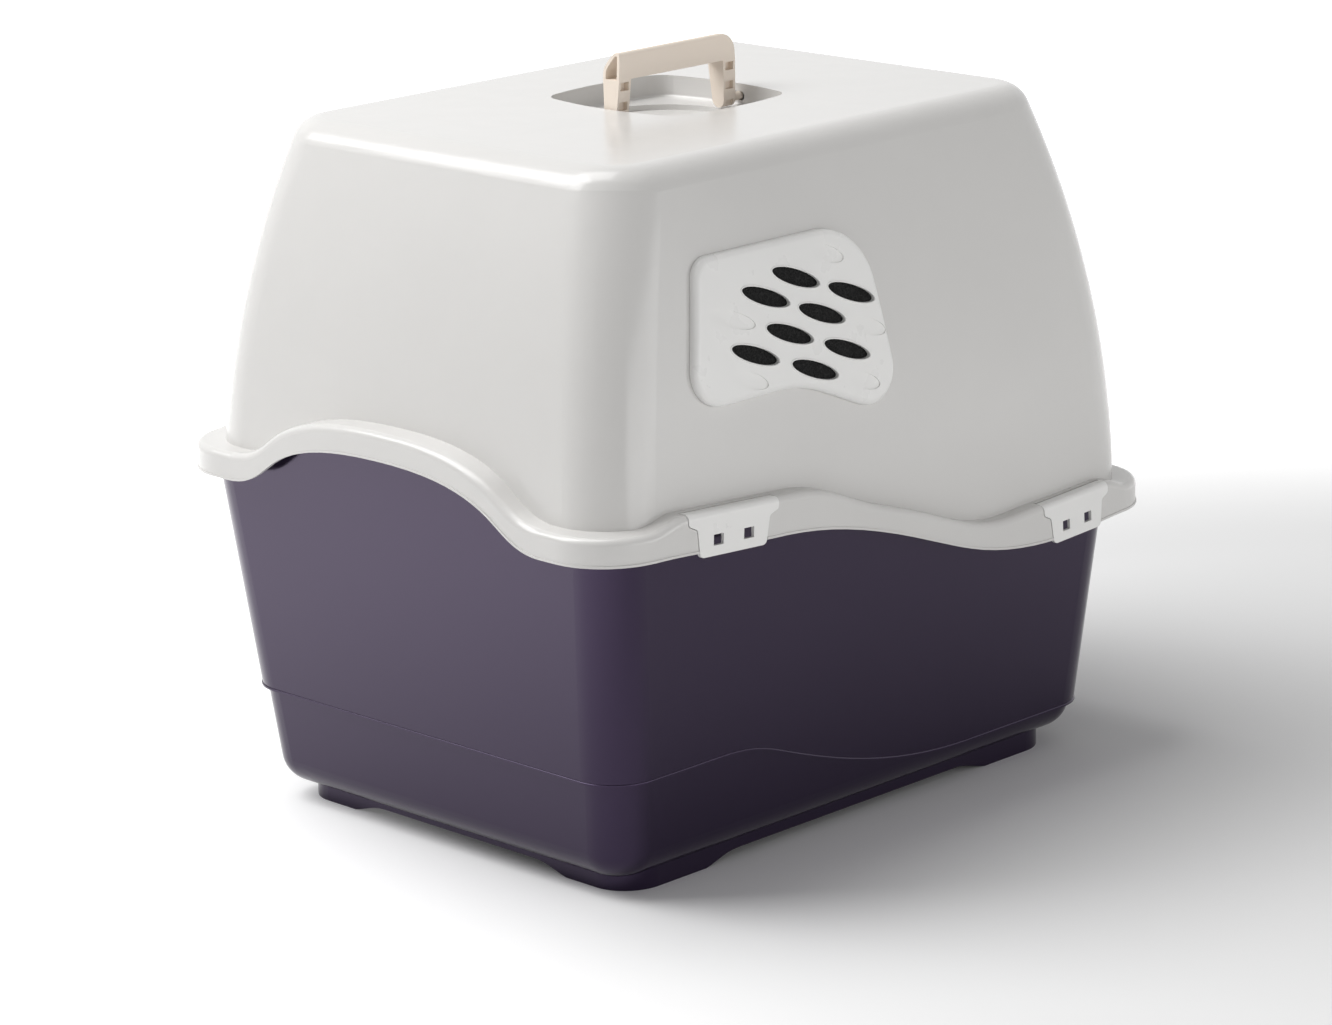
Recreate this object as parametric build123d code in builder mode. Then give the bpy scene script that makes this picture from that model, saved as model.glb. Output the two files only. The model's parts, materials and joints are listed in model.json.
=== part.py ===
"""Cat litter box with a hood: tray, clip-on hood, carry handle, filter cover and swing flap.

Millimetres. X is the width, Y the length with the entrance at -Y, Z is up from the floor.
"""
import os

from build123d import *

os.makedirs("parts", exist_ok=True)

# Rim, where the hood sits over the tray; a fine bead on its lower edge is the widest part
rim_width = 448.6
rim_length = 568.6
rim_corner = 48.0
rim_height = 19.5           # from the skirt's lower edge to the ledge
rim_edge_radius = 5.0
rim_bead = 0.7
rim_bead_height = 1.6
rim_arch_rise = 40.5        # the rim's rise in the middle of the back
rim_arch_half = 160.0
stretch = rim_length / 568.6    # places along the length follow the rim

# Heights along Y: the skirt's lower edge, and the ledge with a raised pad at each clip
rim_wave = [
    (-245, 184), (-217, 182.3), (-163, 179.4), (-130, 181), (-84, 189.1), (-23, 210), (44, 231.5),
    (95, 241.3), (170, 246.1), (245, 251),
]
ledge_wave = [
    (-247, 203.5), (-236, 206.6), (-226, 209.6), (-214, 210.2), (-186, 208.5), (-150, 207.3),
    (-130, 206), (-110, 205.2), (-91, 206.9), (-59, 215.9), (-23, 229.5), (20, 243.8), (45, 253.5),
    (73, 264.6), (90, 268.6), (110, 270.6), (166, 273.9), (205, 276.2), (214, 276.2), (224, 274),
    (234, 271.5), (245, 270.5),
]

# Hood
roof_z = 500.0
roof_width = rim_width - 105.6
roof_length = rim_length - 137.6
roof_edge_radius = 22.0
hood_corner = 44.0
hood_wall = 2.5
hood_foot_z = 200.0         # where the walls start to lean in
hood_foot_inset = 13.3      # wall's distance in from the rim

# Tray
tray_wall = 2.8
tray_floor = 3.0
tray_corner = 34.0
tray_top_inset = 15.2       # wall's distance in from the rim at the back
tray_taper = 0.098
tray_step = 4.0             # lower part stands in by this much
step_back_z = 87.0
step_front_z = 33.0
step_bead = 0.8             # bead along the step
step_bead_height = 1.7
lip_thickness = 3.0
lip_clearance = 1.0         # between lip and skirt
seat_clearance = 0.3        # between ledge and lip
tray_bottom_radius = 22.0

# Plinth with four corner feet
plinth_width = rim_width - 108.6
plinth_length = rim_length - 122.6
plinth_corner = 30.0
plinth_height = 13.0
plinth_wall = 6.0
plinth_seat = 2.5           # up into the rounded underside
foot_relief = 7.0           # underside between the feet, above the floor
foot_width = 60.0
foot_length = 77.0
foot_ramp = 32.0

# Side clips, hinged in the pads and flush with the skirt
clip_back_y = 166.0 * stretch
clip_front_y = -186.0 * stretch
clip_back_z = 271.3         # hinge axes
clip_front_z = 205.9
clip_back_tilt = 3.4        # the axes follow the rim
clip_front_tilt = -3.0
clip_front_scale = 0.82     # the front clips are narrower
clip_head = 86.0
clip_waist = 69.0
clip_foot = 63.0
clip_shoulder_drop = 5.0    # below the hinge axis
clip_waist_drop = 8.5
clip_drop = 28.3            # to the lower edge
clip_shoulder_radius = 3.0
clip_foot_radius = 4.0
clip_top_radius = 4.2
clip_thickness = 2.6
clip_proud = 0.5            # plate in front of the skirt
clip_axis_inset = 6.0       # axis in from the rim's face
clip_barrel_radius = 2.6
clip_back_edge = 2.2        # head behind the axis
clip_pin_radius = 1.6
clip_pin_length = 3.0
clip_pin_clearance = 0.05
clip_gap = 0.45             # around the clip
clip_hole_width = 9.5
clip_hole_height = 7.5
clip_hole_spacing = 29.0
clip_hole_rise = 7.0        # lower edge of the clip to the holes
clip_hook = 1.5

# Carry handle in the roof's well; it folds down to +X
well_x = 8.0
well_y = -11.0
well_width = 128.0          # between the corners
well_length = 114.0
well_bow_x = 7.0            # the sides curve out by this much
well_bow_y = 8.5
well_corner = 18.0
well_depth = 15.7
well_floor_radius = 2.0
well_dish_length = 92.0     # oval dish in the floor, for the fingers
well_dish_width = 104.0
well_dish_depth = 4.0
handle_width = 16.0
handle_height = 49.0        # from the pivot to the top of the grip
handle_grip_depth = 19.5
handle_grip_wall = 2.4
handle_back_y = 53.0        # legs' outer faces at the pivot
handle_front_y = -67.2
handle_splay = 0.06         # legs spread towards their feet
handle_end_radius = 14.0
handle_inner_radius = 4.0
handle_leg = 12.0
handle_foot = 5.75          # round foot about the pivot
handle_pivot_drop = 9.0     # pivot below the roof
handle_pin_radius = 3.2
handle_pin_clearance = 0.05
handle_slot = 12.0          # pin slots in the well's ends
cell_width = 8.0            # cored cells in the legs
cell_height = 6.0
cell_depth = 5.0
cell_pitch = 14.0
cell_count = 3
cell_top_drop = 24.2        # top of the grip to the first cell's middle

# Filter cover on the -X wall
cover_thickness = 6.5
cover_skin = 2.5
cover_gap = 0.2             # to the wall and around the filter
cover_rim = 4.0
cover_edge_radius = 4.5
cover_top_z = 437.0
mark_depth = 0.9            # blind ovals
slot_length = 46.0
slot_width = 11.0
slot_tilt = 20.7
window_width = 110.0
window_height = 60.0
window_y = 76.0
window_z = 384.0

# Entrance and swing flap
door_width = 228.0
door_sill_z = 224.0
door_top_z = 432.0
door_corner = 14.0
door_frame = 9.0            # raised surround
door_frame_rise = 2.0
porch_wall = 3.0
porch_inner_y = 55.3 - rim_length / 2
flap_y = 48.3 - rim_length / 2
flap_thickness = 3.0
flap_axis_drop = 18.0       # axis below the top of the entrance
flap_gap = 2.0
flap_pin_radius = 3.0
flap_pin_length = 2.4
flap_pin_clearance = 0.05

# Derived sizes
rim_half_x = rim_width / 2
rim_half_y = rim_length / 2
low_z = 130.0
high_z = roof_z - 170.0
reach = rim_length
ledge_under = rim_height - hood_wall
lip_top = ledge_under - seat_clearance
lip_inset = hood_wall + lip_clearance
rim_back_z = rim_wave[-1][1]


def hood_inset(z):
    """Distance of the hood's outer wall from the rim's outline, across and along."""
    share = max(0.0, (z - hood_foot_z) / (roof_z - hood_foot_z)) ** 2
    across = hood_foot_inset + share * (rim_half_x - roof_width / 2 - hood_foot_inset)
    along = hood_foot_inset + share * (rim_half_y - roof_length / 2 - hood_foot_inset)
    return across, along


def tray_inset(z):
    """Distance of the tray's upper wall from the rim's outline."""
    inset = tray_top_inset + tray_taper * (rim_back_z - z)
    return inset, inset


def tapered_body(inset, corner, heights, wall, ruled=False):
    """Solid through rounded rectangles, moved in from the outer face by a wall."""
    with BuildPart() as body:
        for z in heights:
            across, along = inset(z)
            with BuildSketch(Plane.XY.offset(z)):
                RectangleRounded(
                    rim_width - 2 * (across + wall), rim_length - 2 * (along + wall), corner - wall
                )
        loft(ruled=ruled)
    return body.part


def hood_body(wall, top):
    """The hood's solid form, wall inside its outer face, up to the height top."""
    heights = [low_z, hood_foot_z] + [hood_foot_z + (top - hood_foot_z) * k / 5 for k in range(1, 6)]
    with BuildPart() as body:
        add(tapered_body(hood_inset, hood_corner, heights, wall))
        fillet(body.faces().sort_by(Axis.Z)[-1].edges(), roof_edge_radius - wall)
    return body.part


def hood_skin(inner, outer):
    """Layer between two distances outside the hood's outer face, without the roof's rounding."""
    heights = [low_z, hood_foot_z] + [hood_foot_z + (roof_z - hood_foot_z) * k / 5 for k in range(1, 6)]
    with BuildPart() as layer:
        add(tapered_body(hood_inset, hood_corner, heights, -outer))
        add(tapered_body(hood_inset, hood_corner, heights, -inner), mode=Mode.SUBTRACT)
    return layer.part


def rim_prism(inset):
    """Upright prism on the rim's outline, moved in by inset."""
    with BuildPart() as prism:
        with BuildSketch(Plane.XY.offset(low_z)):
            RectangleRounded(rim_width - 2 * inset, rim_length - 2 * inset, rim_corner - inset)
        extrude(amount=high_z - low_z)
    return prism.part


def rim_outline_distance(point):
    """Distance of a point from the rim's outer face."""
    across = abs(point.X) - rim_half_x + rim_corner
    along = abs(point.Y) - rim_half_y + rim_corner
    outside = (max(across, 0) ** 2 + max(along, 0) ** 2) ** 0.5
    return abs(outside + min(max(across, along), 0) - rim_corner)


def under_wave(places, rise):
    """Everything below a wavy line along the sides and the arch at the back, raised by rise."""
    points = [(y * stretch, z + rise) for y, z in places]
    back = points[-1][1]
    with BuildPart() as block:
        with BuildSketch(Plane.YZ.offset(-reach / 2)):
            with BuildLine():
                wave = Spline(*points, tangents=((1, 0), (1, 0)))
                Polyline(
                    wave @ 1, (reach, back), (reach, 0), (-reach, 0), (-reach, points[0][1]), wave @ 0
                )
            make_face()
        extrude(amount=reach)
        with BuildSketch(Plane.XZ.offset(-rim_half_y - 20)):
            with BuildLine():
                arch = Spline(
                    (-rim_arch_half, back), (-0.69 * rim_arch_half, back + 0.49 * rim_arch_rise),
                    (0, back + rim_arch_rise),
                    (0.69 * rim_arch_half, back + 0.49 * rim_arch_rise), (rim_arch_half, back),
                    tangents=((1, 0), (1, 0)),
                )
                Polyline(arch @ 1, (rim_arch_half, back - 5), (-rim_arch_half, back - 5), arch @ 0)
            make_face()
        extrude(amount=55)
    return block.part


def under_rim(rise):
    """Everything below the skirt's lower edge, raised by rise."""
    return under_wave(rim_wave, rise)


def under_step(rise):
    """Everything below the step that runs round the tray."""
    back = step_back_z + rise
    front = step_front_z + rise
    drop = step_back_z - step_front_z
    with BuildPart() as block:
        with BuildSketch(Plane.YZ.offset(-reach / 2)):
            with BuildLine():
                wave = Spline(
                    (-110 * stretch, front), (12 * stretch, front + 0.3 * drop),
                    (84 * stretch, front + 0.74 * drop), (150 * stretch, back),
                    tangents=((1, 0), (1, 0)),
                )
                Polyline(wave @ 1, (reach, back), (reach, 0), (-reach, 0), (-reach, front), wave @ 0)
            make_face()
        extrude(amount=reach)
    return block.part


hood_outer = hood_body(0, roof_z)
hood_hollow = hood_body(hood_wall, roof_z - hood_wall)
ledge_bottom = under_rim(ledge_under)
lip_ceiling = under_rim(lip_top)

# Rim band: ledge with pads, skirt, and the bead on its lower edge
with BuildPart() as rim_band:
    add(rim_prism(0))
    add(under_wave(ledge_wave, 0), mode=Mode.INTERSECT)
    add(under_rim(0), mode=Mode.SUBTRACT)
    rim_top = rim_band.faces().filter_by(lambda face: face.normal_at().Z > 0.5)
    outer_edges = [
        edge for edge in rim_top.edges()
        if rim_outline_distance(edge @ 0.5) < 0.01 and rim_outline_distance(edge @ 0) < 0.01
    ]
    fillet(outer_edges, rim_edge_radius)

with BuildPart() as bead:
    add(rim_prism(-rim_bead))
    add(under_rim(rim_bead_height), mode=Mode.INTERSECT)
    add(under_rim(0), mode=Mode.SUBTRACT)

with BuildPart() as rim_hollow:
    add(rim_prism(hood_wall))
    add(ledge_bottom, mode=Mode.INTERSECT)

# Well for the handle, sunk into the roof
well_floor_z = roof_z - well_depth
handle_pivot_z = roof_z - handle_pivot_drop


def well_body(wall):
    """The well's hollow, grown outward by a wall."""
    x = well_width / 2 + wall
    y = well_length / 2 + wall
    with BuildPart() as well:
        with BuildSketch(Plane.XY.offset(well_floor_z - wall)) as outline:
            with BuildLine(Location((well_x, well_y))):
                ThreePointArc((x, -y), (x + well_bow_x, 0), (x, y))
                ThreePointArc((x, y), (0, y + well_bow_y), (-x, y))
                ThreePointArc((-x, y), (-x - well_bow_x, 0), (-x, -y))
                ThreePointArc((-x, -y), (0, -y - well_bow_y), (x, -y))
            make_face()
            fillet(outline.vertices(), well_corner + wall)
        extrude(amount=well_depth + wall)
        fillet(well.faces().sort_by(Axis.Z)[0].edges(), well_floor_radius + wall)
        with BuildSketch(Plane.XY.offset(well_floor_z - well_dish_depth - wall)):
            with Locations((well_x, well_y)):
                Ellipse(well_dish_width / 2 + wall, well_dish_length / 2 + wall)
        extrude(amount=well_dish_depth + wall + 1)
    return well.part


def door_prism(grow, y_from, y_to):
    """Prism on the entrance's outline, grown by a margin, between two planes across Y."""
    height = door_top_z - door_sill_z
    with BuildPart() as prism:
        with BuildSketch(Plane.XZ.offset(-y_from)):
            with Locations((0, (door_top_z + door_sill_z) / 2)):
                RectangleRounded(door_width + 2 * grow, height + 2 * grow, door_corner + grow)
        extrude(amount=y_from - y_to)
    return prism.part


flap_axis_z = door_top_z - flap_axis_drop
porch_outer_y = -rim_half_y

with BuildPart() as porch:
    add(door_prism(porch_wall, porch_inner_y, porch_outer_y))
    add(hood_outer, mode=Mode.INTERSECT)

with BuildPart() as surround:
    add(door_prism(door_frame, porch_inner_y, porch_outer_y - 20))
    add(hood_skin(-hood_wall / 2, door_frame_rise), mode=Mode.INTERSECT)

# Filter cover's outline on the -X wall, drawn in Y and Z
cover_corners = [(164.5, cover_top_z), (185.5, 337), (80.3, 338), (-18.3, 295.6), (3.6, cover_top_z)]
cover_radii = [16, 24, 120, 25, 48]
slot_places = [
    (74.6, 410.4), (23.6, 391.4), (105.6, 402.4), (54.6, 382.4), (87.6, 374.4), (34.6, 354.4),
    (122.6, 366.4), (67.6, 346.4),
]
blind_places = [
    (41.6, 421.0, 33), (139.6, 393.4, 44), (9.4, 365.6, 32), (129.6, 350.4, 34), (20.4, 330.0, 31),
]


def cover_prism(margin):
    """Prism across the -X wall on the cover's outline, moved in by a margin."""
    with BuildPart() as prism:
        with BuildSketch(Plane.YZ.offset(-rim_half_x - 20)) as outline:
            with BuildLine():
                Polyline(*cover_corners, close=True)
            make_face()
            for corner, radius in zip(cover_corners, cover_radii):
                fillet(outline.vertices().sort_by_distance((*corner, 0))[0], radius)
            if margin:
                offset(amount=-margin, mode=Mode.REPLACE)
        extrude(amount=rim_half_x)
    return prism.part


# Side clips: name, side of the box, scale along Y, and the place of the hinge axis on the +X side
clip_axis_x = rim_half_x - clip_axis_inset
clip_places = [
    (f"clip_{end}_{side}", sign, scale, Location((clip_axis_x, y, z), (tilt, 0, 0)))
    for end, scale, y, z, tilt in (
        ("back", 1.0, clip_back_y, clip_back_z, clip_back_tilt),
        ("front", clip_front_scale, clip_front_y, clip_front_z, clip_front_tilt),
    )
    for side, sign in (("left", -1), ("right", 1))
]
plate_outer_x = clip_axis_inset + clip_proud        # from the axis
plate_inner_x = plate_outer_x - clip_thickness
hook_end_x = clip_axis_inset - lip_inset + seat_clearance


def placed(solid, sign, place):
    """A solid drawn about its hinge axis, moved to its place on one side of the box."""
    moved = place * solid
    return moved if sign > 0 else mirror(moved, about=Plane.YZ)


def clip_plate(scale, grow, x_from, x_to):
    """Prism on a clip's outline, about its hinge axis: broad head, shoulders and tapered body."""
    head, waist, foot = (scale * width / 2 for width in (clip_head, clip_waist, clip_foot))
    half = [
        (head, clip_barrel_radius), (head, -clip_shoulder_drop),
        (waist, -clip_waist_drop), (foot, -clip_drop),
    ]
    with BuildPart() as plate:
        with BuildSketch(Plane.YZ.offset(x_from)) as outline:
            with BuildLine():
                Polyline(*half, *[(-y, z) for y, z in reversed(half)], close=True)
            make_face()
            levels = outline.vertices().group_by(Axis.Y)
            fillet(levels[0], clip_foot_radius)
            levels = outline.vertices().group_by(Axis.Y)
            fillet(levels[-2] + levels[-3], clip_shoulder_radius)
            if grow:
                offset(amount=grow, mode=Mode.REPLACE)
        extrude(amount=x_to - x_from)
    return plate.part


def clip_room(scale):
    """Notch, pin holes and gap in the skirt for one clip, about its hinge axis."""
    head = scale * clip_head + 2 * clip_gap
    depth = clip_axis_inset + clip_back_edge + 1.5
    floor = clip_barrel_radius + clip_gap
    with BuildPart() as room:
        with Locations((clip_axis_inset - depth / 2 + 2, 0, 10 - floor)):
            Box(depth + 4, head, 20)
        add(clip_plate(scale, clip_gap, clip_axis_inset - hood_wall - 0.3, clip_axis_inset + 5))
        with Locations(Location((0, 0, 0), (90, 0, 0))):
            Cylinder(clip_pin_radius + clip_pin_clearance, head + 2 * clip_pin_length)
    return room.part


def clip_piece(scale):
    """One clip about its hinge axis: barrel with pins, plate with two holes, hooks under the tray's lip."""
    head = scale * clip_head
    top = clip_barrel_radius
    hole_width = scale * clip_hole_width
    hole_z = clip_hole_rise + clip_hole_height / 2 - clip_drop
    hook_z = hole_z + (clip_hole_height + clip_hook) / 2
    with BuildPart() as piece:
        add(clip_plate(scale, 0, plate_inner_x, plate_outer_x))
        with Locations(((plate_outer_x - clip_back_edge) / 2, 0, top / 2)):
            Box(plate_outer_x + clip_back_edge, head, top)
        with Locations((plate_outer_x / 2, 0, 0)):
            Box(plate_outer_x, head, 2 * top)
        fillet(piece.edges().filter_by(Axis.Y).group_by(Axis.Z)[-1].sort_by(Axis.X)[-1], clip_top_radius)
        with Locations(Location((0, 0, 0), (90, 0, 0))):
            Cylinder(clip_barrel_radius, head)
            Cylinder(clip_pin_radius, head + 2 * (clip_gap + clip_pin_length) - 0.6)
        with GridLocations(0, scale * clip_hole_spacing, 1, 2):
            with Locations((plate_outer_x, 0, hole_z)):
                Box(4 * clip_thickness, hole_width, clip_hole_height, mode=Mode.SUBTRACT)
            with Locations(((hook_end_x + plate_inner_x) / 2 + 0.1, 0, hook_z)):
                Box(plate_inner_x - hook_end_x + 0.2, hole_width, clip_hook)
    return piece.part


with BuildPart() as hood_shell:
    add(hood_outer)
    add(ledge_bottom, mode=Mode.SUBTRACT)
    add(rim_band.part)
    add(bead.part)
    add(rim_hollow.part, mode=Mode.SUBTRACT)
    add(surround.part)
    add(hood_hollow, mode=Mode.SUBTRACT)
    add(porch.part)
    add(door_prism(0, porch_inner_y + 1, porch_outer_y - 20), mode=Mode.SUBTRACT)
    with Locations(Location((0, flap_y, flap_axis_z), (0, 90, 0))):
        Cylinder(flap_pin_radius + flap_pin_clearance, door_width + 2 * porch_wall + 2, mode=Mode.SUBTRACT)
    add(well_body(hood_wall))
    add(well_body(0), mode=Mode.SUBTRACT)
    with BuildSketch(Plane.XZ.offset(-well_y)):
        with Locations((0, handle_pivot_z)):
            SlotOverall(handle_slot, 2 * (handle_pin_radius + handle_pin_clearance))
    extrude(amount=well_length / 2 + well_bow_y + hood_wall + 1, both=True, mode=Mode.SUBTRACT)
    for _, sign, scale, place in clip_places:
        add(placed(clip_room(scale), sign, place), mode=Mode.SUBTRACT)
    with BuildSketch(Plane.YZ.offset(-rim_half_x - 20)):
        with Locations((window_y, window_z)):
            RectangleRounded(window_width, window_height, 8)
    extrude(amount=rim_half_x, mode=Mode.SUBTRACT)
hood_shell.part.label = "hood_shell"
export_step(hood_shell.part, "parts/hood_shell.step")

for name, sign, scale, place in clip_places:
    with BuildPart() as clip:
        add(placed(clip_piece(scale), sign, place))
    clip.part.label = name
    export_step(clip.part, f"parts/{name}.step")

# Tray: walls with a step, an outward lip under the ledge, and a plinth with four feet
tray_heights = [plinth_height, high_z]

with BuildPart() as tray_lower:
    add(tapered_body(tray_inset, tray_corner, tray_heights, tray_step, ruled=True))
    fillet(tray_lower.faces().sort_by(Axis.Z)[0].edges(), tray_bottom_radius)
    add(under_step(0), mode=Mode.INTERSECT)

with BuildPart() as tray_upper:
    add(tapered_body(tray_inset, tray_corner, tray_heights, 0, ruled=True))
    add(under_step(0), mode=Mode.SUBTRACT)
    add(lip_ceiling, mode=Mode.INTERSECT)

with BuildPart() as tray_bead:
    add(tapered_body(tray_inset, tray_corner, tray_heights, -step_bead, ruled=True))
    add(under_step(step_bead_height), mode=Mode.INTERSECT)
    add(under_step(0), mode=Mode.SUBTRACT)
    bead_top = tray_bead.faces().filter_by(lambda face: face.normal_at().Z > 0.5)
    bead_edges = [
        edge for edge in bead_top.edges()
        if abs((edge @ 0.5).Y) > rim_half_y / 2 or abs((edge @ 0).X - (edge @ 1).X) < rim_half_x / 2
    ]
    fillet(bead_edges, 0.9 * step_bead)

with BuildPart() as tray_lip:
    add(rim_prism(lip_inset))
    add(lip_ceiling, mode=Mode.INTERSECT)
    add(under_rim(lip_top - lip_thickness), mode=Mode.SUBTRACT)

with BuildPart() as tray_hollow_lower:
    heights = [plinth_height + tray_floor, high_z]
    add(tapered_body(tray_inset, tray_corner, heights, tray_step + tray_wall, ruled=True))
    fillet(tray_hollow_lower.faces().sort_by(Axis.Z)[0].edges(), tray_bottom_radius - tray_wall)

with BuildPart() as tray_hollow_upper:
    add(tapered_body(tray_inset, tray_corner, tray_heights, tray_wall, ruled=True))
    add(under_step(tray_wall), mode=Mode.SUBTRACT)

with BuildPart() as plinth:
    with BuildSketch():
        RectangleRounded(plinth_width, plinth_length, plinth_corner)
        offset(amount=-plinth_wall, mode=Mode.SUBTRACT)
    extrude(amount=plinth_height + plinth_seat)
    for plane, half, foot in (
        (Plane.XZ, plinth_width / 2, foot_width), (Plane.YZ, plinth_length / 2, foot_length)
    ):
        low = half - foot
        high = low - foot_ramp
        with BuildSketch(plane):
            with BuildLine():
                ramp = Spline((low, 0), (high, foot_relief), tangents=((-1, 0.2), (-1, 0)))
                Spline((-high, foot_relief), (-low, 0), tangents=((-1, 0), (-1, -0.2)))
                Line(ramp @ 1, (-high, foot_relief))
                Line((-low, 0), (low, 0))
            make_face()
        extrude(amount=reach / 2, both=True, mode=Mode.SUBTRACT)

with BuildPart() as base_tray:
    add(tray_lower.part)
    add(tray_upper.part)
    add(tray_bead.part)
    add(tray_lip.part)
    add(tray_hollow_lower.part, mode=Mode.SUBTRACT)
    add(tray_hollow_upper.part, mode=Mode.SUBTRACT)
    add(plinth.part)
base_tray.part.label = "base_tray"
export_step(base_tray.part, "parts/base_tray.step")

# Carry handle: channel grip, open at its back end, on two cored legs with pivot pins
grip_top_z = handle_pivot_z + handle_height
grip_low_z = grip_top_z - handle_grip_depth
grip_half = handle_width / 2


def grip_lines(low_z, wall):
    """Open outline of the grip in X and Z, wall inside its face: flat on -X, rounded over to +X."""
    left = wall - grip_half
    right = grip_half - wall
    top = grip_top_z - wall
    bend = 2.5 - 0.6 * wall
    bulge = [
        (-0.05 * grip_half - 0.5 * wall, grip_top_z - 2.4 - 0.86 * wall),
        (0.6 * grip_half - 0.83 * wall, grip_top_z - 8.3 - 0.55 * wall),
    ]
    Line((left, low_z), (left, top - bend))
    ThreePointArc((left, top - bend), (left + 0.293 * bend, top - 0.293 * bend), (left + bend, top))
    Spline((left + bend, top), *bulge, (right, grip_top_z - 17.5), tangents=((1, 0), (0, -1)))
    Line((right, grip_top_z - 17.5), (right, low_z))


def leg_y(outer, height):
    """A leg's face, which leans in with its height above the pivot."""
    return outer - handle_splay * height * (1 if outer > 0 else -1)


with BuildPart() as carry_handle:
    with BuildSketch(Plane.YZ.offset(-handle_width)) as side_view:
        back_inner = handle_back_y - handle_leg
        front_inner = handle_front_y + handle_leg
        under = handle_height - handle_grip_depth
        with BuildLine(Location((0, handle_pivot_z))):
            Polyline(
                (leg_y(handle_back_y, -10), -10), (leg_y(handle_back_y, handle_height), handle_height),
                (leg_y(handle_front_y, handle_height), handle_height), (leg_y(handle_front_y, -10), -10),
                (leg_y(front_inner, -10), -10), (leg_y(front_inner, under), under),
                (leg_y(back_inner, under), under), (leg_y(back_inner, -10), -10), close=True,
            )
        make_face()
        levels = side_view.vertices().group_by(Axis.Y)
        fillet(levels[-1].sort_by(Axis.X)[0], handle_end_radius)
        fillet(levels[1], handle_inner_radius)
    extrude(amount=2 * handle_width)
    with BuildSketch(Plane.XZ.offset(-reach / 2)):
        with BuildLine():
            grip_lines(grip_low_z, 0)
            Line((grip_half, grip_low_z), (handle_foot, handle_pivot_z))
            ThreePointArc(
                (handle_foot, handle_pivot_z), (0, handle_pivot_z - handle_foot),
                (-handle_foot, handle_pivot_z),
            )
            Line((-handle_foot, handle_pivot_z), (-grip_half, grip_low_z))
        make_face()
    extrude(amount=reach, mode=Mode.INTERSECT)
    with BuildSketch(Plane.XZ.offset(-reach / 2)):
        with BuildLine():
            grip_lines(grip_low_z, handle_grip_wall)
            Line((grip_half - handle_grip_wall, grip_low_z), (handle_grip_wall - grip_half, grip_low_z))
        make_face()
    extrude(amount=reach / 2 - handle_front_y - handle_leg / 2, mode=Mode.SUBTRACT)
    for outer, inward in ((handle_back_y, -1), (handle_front_y, 1)):
        for k in range(cell_count):
            z = grip_top_z - cell_top_drop - k * cell_pitch
            y = leg_y(outer, z - handle_pivot_z) + inward * handle_leg / 2
            with Locations((-grip_half, y, z), (grip_half, y, z)):
                Box(2 * cell_depth, cell_width, cell_height, mode=Mode.SUBTRACT)
    for y_from, y_to in (
        (handle_back_y - 2, well_y + well_length / 2 + well_bow_y + 1.5),
        (handle_front_y + 2, well_y - well_length / 2 - well_bow_y - 1.5),
    ):
        with Locations(Location((0, (y_from + y_to) / 2, handle_pivot_z), (90, 0, 0))):
            Cylinder(handle_pin_radius, abs(y_to - y_from))
carry_handle.part.label = "carry_handle"
export_step(carry_handle.part, "parts/carry_handle.step")

# Filter cover with slanted oval slots, and the carbon filter in its back
cover_core = cover_thickness - cover_skin


def oval(width, length):
    """Slanted oval on the cover, in the sketch in use."""
    Ellipse(length / 2, width / 2, rotation=slot_tilt)


with BuildPart() as cover_pocket:
    add(cover_prism(cover_rim))
    add(hood_skin(-1, cover_core), mode=Mode.INTERSECT)

with BuildPart() as cover_marks:
    with BuildSketch(Plane.YZ.offset(-rim_half_x - 20)):
        for y, z, length in blind_places:
            with Locations((y, z)):
                oval(slot_width, length)
    extrude(amount=rim_half_x)
    add(hood_skin(cover_thickness - mark_depth, cover_thickness + 5), mode=Mode.INTERSECT)

with BuildPart() as filter_cover:
    add(cover_prism(0))
    add(hood_skin(cover_gap, cover_thickness), mode=Mode.INTERSECT)
    front_face = filter_cover.faces().sort_by(SortBy.AREA)[-2:].sort_by(Axis.X)[0]
    fillet(front_face.edges(), cover_edge_radius)
    add(cover_pocket.part, mode=Mode.SUBTRACT)
    with BuildSketch(Plane.YZ.offset(-rim_half_x - 20)):
        with Locations(*slot_places):
            oval(slot_width, slot_length)
    extrude(amount=rim_half_x, mode=Mode.SUBTRACT)
    add(cover_marks.part, mode=Mode.SUBTRACT)
filter_cover.part.label = "filter_cover"
export_step(filter_cover.part, "parts/filter_cover.step")

with BuildPart() as carbon_filter:
    add(cover_prism(cover_rim + cover_gap))
    add(hood_skin(cover_gap, cover_core - cover_gap), mode=Mode.INTERSECT)
carbon_filter.part.label = "carbon_filter"
export_step(carbon_filter.part, "parts/carbon_filter.step")

# Swing flap, hung in the porch by two end pins
flap_low_z = door_sill_z + flap_gap
flap_high_z = door_top_z - flap_gap - 3

with BuildPart() as door_flap:
    with BuildSketch(Plane.XZ.offset(-flap_y)):
        with Locations((0, (flap_low_z + flap_high_z) / 2)):
            RectangleRounded(door_width - 2 * flap_gap, flap_high_z - flap_low_z, door_corner)
    extrude(amount=flap_thickness / 2, both=True)
    with Locations(Location((0, flap_y, flap_axis_z), (0, 90, 0))):
        Cylinder(flap_pin_radius + 1.5, door_width - 2 * flap_gap)
        Cylinder(flap_pin_radius, door_width + 2 * flap_pin_length)
door_flap.part.label = "door_flap"
export_step(door_flap.part, "parts/door_flap.step")
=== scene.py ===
import json
import math

import bmesh
import bpy
from mathutils import Matrix, Vector, noise


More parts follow.
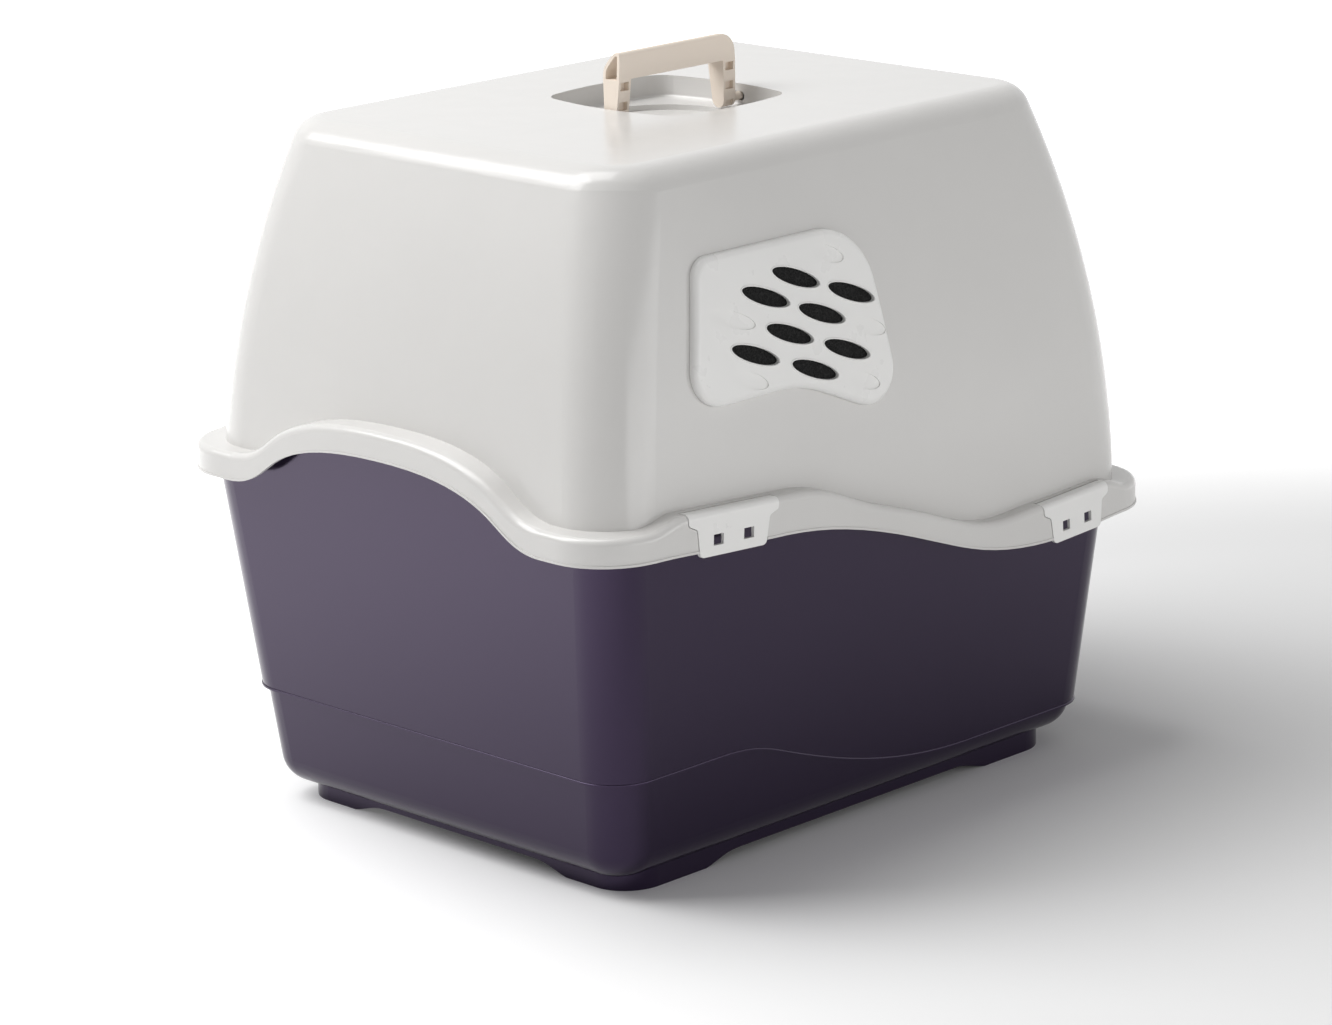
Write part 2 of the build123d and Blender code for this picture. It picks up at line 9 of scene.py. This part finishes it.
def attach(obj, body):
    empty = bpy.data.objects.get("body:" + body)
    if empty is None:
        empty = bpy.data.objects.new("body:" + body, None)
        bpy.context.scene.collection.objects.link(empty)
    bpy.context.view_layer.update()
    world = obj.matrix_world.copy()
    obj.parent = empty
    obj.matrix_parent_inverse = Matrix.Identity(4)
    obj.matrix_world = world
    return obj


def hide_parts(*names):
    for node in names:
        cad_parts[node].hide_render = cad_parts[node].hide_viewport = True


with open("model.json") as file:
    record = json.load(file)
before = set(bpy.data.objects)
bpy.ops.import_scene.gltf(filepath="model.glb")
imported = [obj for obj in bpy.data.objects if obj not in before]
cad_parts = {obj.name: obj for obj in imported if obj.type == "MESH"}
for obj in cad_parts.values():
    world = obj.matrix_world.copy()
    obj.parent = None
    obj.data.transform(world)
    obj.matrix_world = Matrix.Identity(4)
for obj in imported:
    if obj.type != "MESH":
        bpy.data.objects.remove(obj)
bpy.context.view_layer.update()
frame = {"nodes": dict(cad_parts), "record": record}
scene = bpy.context.scene
scene.view_settings.view_transform = "Standard"

# Camera, found from the photograph's edges: angles in degrees, focal length in pixels, place in metres
PHOTO_WIDTH = 1332
CAMERA_YAW, CAMERA_PITCH, CAMERA_ROLL = 225.377, 15.410, -1.520
CAMERA_FOCAL = 4612.9
CAMERA_PLACE = Vector((-2.3008, 2.2791, 1.0874))
CAMERA_REACH = 50
SENSOR = 36.0

FLOOR_SIZE = 40

# Slots of the filter cover, as in part.py: millimetres along Y and Z
SLOT_PLACES = [
    (74.6, 410.4), (23.6, 391.4), (105.6, 402.4), (54.6, 382.4), (87.6, 374.4), (34.6, 354.4),
    (122.6, 366.4), (67.6, 346.4),
]
SLOT_LENGTH, SLOT_WIDTH, SLOT_TILT = 46.0, 11.0, 20.7
SLOT_RIM_MARGIN = 0.7

# Rims round the slots and pits of the foam, in metres
SLOT_RIM_RADIUS = 0.0006
FOAM_VOXEL = 0.0013
FOAM_CELLS_PER_METRE = 330
FOAM_PIT_DEPTH, FOAM_PIT_LIMIT = 0.0011, 0.0009
FOAM_PIT_EDGE = 0.75        # from a pit's middle, in cells


def add_camera():
    """Camera at the photograph's view."""
    yaw, pitch, roll = (math.radians(v) for v in (CAMERA_YAW, CAMERA_PITCH, CAMERA_ROLL))
    back = Vector((math.sin(yaw) * math.cos(pitch), -math.cos(yaw) * math.cos(pitch), math.sin(pitch)))
    right = Vector((math.cos(yaw), math.sin(yaw), 0))
    up = back.cross(right)
    tilted_right = math.cos(roll) * right + math.sin(roll) * up
    tilted_up = math.cos(roll) * up - math.sin(roll) * right
    camera = bpy.data.objects.new("camera", bpy.data.cameras.new("camera"))
    camera.data.sensor_width = SENSOR
    camera.data.lens = CAMERA_FOCAL / PHOTO_WIDTH * SENSOR
    axes = Matrix((tilted_right, tilted_up, back)).transposed().to_4x4()
    camera.matrix_world = Matrix.Translation(CAMERA_PLACE) @ axes
    camera.data.clip_end = CAMERA_REACH
    scene.collection.objects.link(camera)
    scene.camera = camera


def add_softbox(name, place, target, size, watts):
    """Rectangular lamp that looks at a point."""
    lamp = bpy.data.objects.new(name, bpy.data.lights.new(name, "AREA"))
    lamp.data.shape = "RECTANGLE"
    lamp.data.size, lamp.data.size_y = size
    lamp.data.energy = watts
    lamp.location = place
    lamp.rotation_euler = (Vector(target) - Vector(place)).to_track_quat("-Z", "Y").to_euler()
    scene.collection.objects.link(lamp)


def seen_directly(tree):
    """1 for camera, glossy and transmission rays, 0 for the rays that carry light."""
    path = tree.nodes.new("ShaderNodeLightPath")
    first = tree.nodes.new("ShaderNodeMath")
    first.operation = "MAXIMUM"
    tree.links.new(path.outputs["Is Camera Ray"], first.inputs[0])
    tree.links.new(path.outputs["Is Glossy Ray"], first.inputs[1])
    second = tree.nodes.new("ShaderNodeMath")
    second.operation = "MAXIMUM"
    tree.links.new(first.outputs[0], second.inputs[0])
    tree.links.new(path.outputs["Is Transmission Ray"], second.inputs[1])
    return second.outputs[0]


def add_world(strength):
    """Even white surround: plain white where it is seen, softer as light."""
    world = bpy.data.worlds.new("studio")
    scene.world = world
    world.use_nodes = True
    tree = world.node_tree
    background = tree.nodes["Background"]
    background.inputs["Color"].default_value = (1, 1, 1, 1)
    level = tree.nodes.new("ShaderNodeMapRange")
    level.inputs["To Min"].default_value = strength
    level.inputs["To Max"].default_value = 1.0
    tree.links.new(seen_directly(tree), level.inputs["Value"])
    tree.links.new(level.outputs[0], background.inputs["Strength"])


def add_floor(glow, shadow_place, near, far):
    """Wide pale floor that keeps the shadow and, where it is seen, is plain white away from it."""
    bpy.ops.mesh.primitive_plane_add(size=FLOOR_SIZE, location=(0, 0, 0))
    floor = bpy.context.object
    floor.name = "floor"
    material = bpy.data.materials.new("pale_floor")
    material.use_nodes = True
    tree = material.node_tree
    shader = tree.nodes["Principled BSDF"]
    shader.inputs["Base Color"].default_value = (0.9, 0.9, 0.9, 1)
    shader.inputs["Roughness"].default_value = 0.9
    shader.inputs["Specular IOR Level"].default_value = 0.1
    shader.inputs["Emission Color"].default_value = (1, 1, 1, 1)
    place = tree.nodes.new("ShaderNodeTexCoord")
    distance = tree.nodes.new("ShaderNodeVectorMath")
    distance.operation = "DISTANCE"
    distance.inputs[1].default_value = shadow_place
    tree.links.new(place.outputs["Object"], distance.inputs[0])
    spread = tree.nodes.new("ShaderNodeMapRange")
    spread.interpolation_type = "SMOOTHSTEP"
    spread.inputs["From Min"].default_value = near
    spread.inputs["From Max"].default_value = far
    spread.inputs["To Max"].default_value = glow
    tree.links.new(distance.outputs["Value"], spread.inputs["Value"])
    level = tree.nodes.new("ShaderNodeMath")
    level.operation = "MULTIPLY"
    tree.links.new(seen_directly(tree), level.inputs[0])
    tree.links.new(spread.outputs[0], level.inputs[1])
    tree.links.new(level.outputs[0], shader.inputs["Emission Strength"])
    floor.data.materials.append(material)


def plastic(name, color, roughness, grain_scale, grain, mottle=0.03, specular=0.5, sheen=(1, 1, 1)):
    """Moulded plastic: faint flow mottling, uneven polish and a fine mould grain."""
    material = bpy.data.materials.new(name)
    material.use_nodes = True
    nodes, links = material.node_tree.nodes, material.node_tree.links
    shader = nodes["Principled BSDF"]
    shader.inputs["Specular IOR Level"].default_value = specular
    shader.inputs["Specular Tint"].default_value = (*sheen, 1)
    place = nodes.new("ShaderNodeTexCoord")

    flow = nodes.new("ShaderNodeTexNoise")
    flow.inputs["Scale"].default_value = 9
    flow.inputs["Detail"].default_value = 4
    links.new(place.outputs["Object"], flow.inputs["Vector"])
    tone = nodes.new("ShaderNodeMix")
    tone.data_type = "RGBA"
    tone.inputs["A"].default_value = (*[c * (1 - mottle) for c in color], 1)
    tone.inputs["B"].default_value = (*[min(1, c * (1 + mottle)) for c in color], 1)
    links.new(flow.outputs["Fac"], tone.inputs["Factor"])
    links.new(tone.outputs["Result"], shader.inputs["Base Color"])

    polish = nodes.new("ShaderNodeTexNoise")
    polish.inputs["Scale"].default_value = 40
    polish.inputs["Detail"].default_value = 6
    links.new(place.outputs["Object"], polish.inputs["Vector"])
    rough = nodes.new("ShaderNodeMapRange")
    rough.inputs["To Min"].default_value = roughness * 0.85
    rough.inputs["To Max"].default_value = roughness * 1.2
    links.new(polish.outputs["Fac"], rough.inputs["Value"])
    links.new(rough.outputs[0], shader.inputs["Roughness"])

    fine = nodes.new("ShaderNodeTexNoise")
    fine.inputs["Scale"].default_value = grain_scale
    fine.inputs["Detail"].default_value = 3
    links.new(place.outputs["Object"], fine.inputs["Vector"])
    bump = nodes.new("ShaderNodeBump")
    bump.inputs["Strength"].default_value = grain
    bump.inputs["Distance"].default_value = 0.0005
    links.new(fine.outputs["Fac"], bump.inputs["Height"])
    links.new(bump.outputs["Normal"], shader.inputs["Normal"])
    return material


def smoked(name, color):
    """Smoked see-through plastic of the flap, with faint scuffs."""
    material = plastic(name, color, roughness=0.08, grain_scale=500, grain=0.02, mottle=0.1)
    shader = material.node_tree.nodes["Principled BSDF"]
    shader.inputs["Transmission Weight"].default_value = 0.8
    shader.inputs["IOR"].default_value = 1.49
    return material


def foam(name, color):
    """Open-cell carbon foam, with painted shade in its pits and painted light on the ridges between them.
    """
    material = bpy.data.materials.new(name)
    material.use_nodes = True
    nodes, links = material.node_tree.nodes, material.node_tree.links
    shader = nodes["Principled BSDF"]
    shader.inputs["Roughness"].default_value = 1.0
    shader.inputs["Specular IOR Level"].default_value = 0.2
    place = nodes.new("ShaderNodeTexCoord")
    cells = nodes.new("ShaderNodeTexVoronoi")
    cells.inputs["Scale"].default_value = 700
    links.new(place.outputs["Object"], cells.inputs["Vector"])
    # Colour follows the bump's height: darker in the pits and lighter on the ridges between them, which is
    # painted shade and painted light
    tone = nodes.new("ShaderNodeMix")
    tone.data_type = "RGBA"
    tone.inputs["A"].default_value = (*[c * 0.3 for c in color], 1)
    tone.inputs["B"].default_value = (*[c * 2.4 for c in color], 1)
    links.new(cells.outputs["Distance"], tone.inputs["Factor"])
    links.new(tone.outputs["Result"], shader.inputs["Base Color"])
    bump = nodes.new("ShaderNodeBump")
    bump.inputs["Distance"].default_value = 0.001
    links.new(cells.outputs["Distance"], bump.inputs["Height"])
    links.new(bump.outputs["Normal"], shader.inputs["Normal"])
    return material


def add_foam_pad(material):
    """Carbon filter as open-cell foam: the pad's form with a pitted surface."""
    node = frame["nodes"]["carbon_filter"]
    pad = bpy.data.objects.new("carbon_foam_pad", node.data.copy())
    scene.collection.objects.link(pad)
    cells = pad.modifiers.new("cells", "REMESH")
    cells.mode = "VOXEL"
    cells.voxel_size = FOAM_VOXEL
    depsgraph = bpy.context.evaluated_depsgraph_get()
    mesh = bpy.data.meshes.new_from_object(pad.evaluated_get(depsgraph))
    pad.modifiers.clear()
    pad.data = mesh
    mesh.materials.clear()
    mesh.materials.append(material)
    normals = [v.normal.copy() for v in mesh.vertices]
    for vertex, normal in zip(mesh.vertices, normals):
        near, _ = noise.voronoi(vertex.co * FOAM_CELLS_PER_METRE)
        vertex.co -= normal * min(FOAM_PIT_LIMIT, max(0.0, FOAM_PIT_DEPTH * (FOAM_PIT_EDGE - near[0])))
    for face in mesh.polygons:
        face.use_smooth = True
    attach(pad, "filter_unit")
    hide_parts("carbon_filter")


def add_slot_rims(material):
    """Fine raised rims round the slots of the filter cover."""
    cover = frame["nodes"]["filter_cover"]
    tilt = math.radians(SLOT_TILT)
    around, sides = 72, 8
    shape = bmesh.new()
    for y, z in SLOT_PLACES:
        line = []
        for k in range(around):
            turn = 2 * math.pi * k / around
            along = (SLOT_LENGTH / 2 + SLOT_RIM_MARGIN) * math.cos(turn)
            across = (SLOT_WIDTH / 2 + SLOT_RIM_MARGIN) * math.sin(turn)
            spot_y = (y + along * math.cos(tilt) - across * math.sin(tilt)) / 1000
            spot_z = (z + along * math.sin(tilt) + across * math.cos(tilt)) / 1000
            _, spot, normal, _ = cover.ray_cast(Vector((-0.4, spot_y, spot_z)), Vector((1, 0, 0)))
            line.append((spot, normal))
        rings = []
        for k, (spot, normal) in enumerate(line):
            tangent = (line[(k + 1) % around][0] - line[k - 1][0]).normalized()
            outward = normal.cross(tangent).normalized()
            rings.append([
                shape.verts.new(spot + SLOT_RIM_RADIUS * (math.cos(a) * outward + math.sin(a) * normal))
                for a in (2 * math.pi * s / sides for s in range(sides))
            ])
        for k, ring in enumerate(rings):
            following = rings[(k + 1) % around]
            for s in range(sides):
                shape.faces.new((ring[s], ring[(s + 1) % sides], following[(s + 1) % sides], following[s]))
    bmesh.ops.recalc_face_normals(shape, faces=shape.faces)
    mesh = bpy.data.meshes.new("slot_rims")
    shape.to_mesh(mesh)
    shape.free()
    for face in mesh.polygons:
        face.use_smooth = True
    mesh.materials.append(material)
    rims = bpy.data.objects.new("slot_rims", mesh)
    scene.collection.objects.link(rims)
    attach(rims, "filter_unit")


add_camera()
add_world(0.3)
add_softbox("key", (1.5, 1.5, 2.4), (0, 0, 0.25), (1.8, 1.8), 62)
add_softbox("top", (0.7, 0.5, 3.0), (0.1, 0.1, 0.3), (1.6, 1.6), 32)
add_softbox("fill", (-2.8, -0.5, 0.5), (0, 0, 0.35), (3.0, 1.0), 21)
add_floor(0.9, (-0.35, -0.35, 0), 0.55, 1.3)

hood_white = plastic("hood_white", (0.65, 0.64, 0.625), roughness=0.2, grain_scale=900, grain=0.03)
bright_white = plastic("bright_white", (0.83, 0.825, 0.81), roughness=0.28, grain_scale=1100, grain=0.05)
aubergine = plastic(
    "aubergine_plastic", (0.009, 0.005, 0.015), roughness=0.16, grain_scale=700, grain=0.03, mottle=0.1,
    specular=0.6, sheen=(0.77, 0.6, 1.0),
)
cream = plastic("cream_plastic", (0.86, 0.76, 0.66), roughness=0.4, grain_scale=1200, grain=0.08)
carbon = foam("carbon_foam", (0.012, 0.012, 0.012))
flap_plastic = smoked("smoked_plastic", (0.32, 0.30, 0.34))
finishes = {
    "base_tray": aubergine, "hood_shell": hood_white, "carry_handle": cream, "carbon_filter": carbon,
    "door_flap": flap_plastic,
}
for part in frame["record"]["subparts"]:
    node = frame["nodes"][part["node"]]
    node.data.materials.clear()
    node.data.materials.append(finishes.get(part["node"], bright_white))
add_foam_pad(carbon)
add_slot_rims(bright_white)
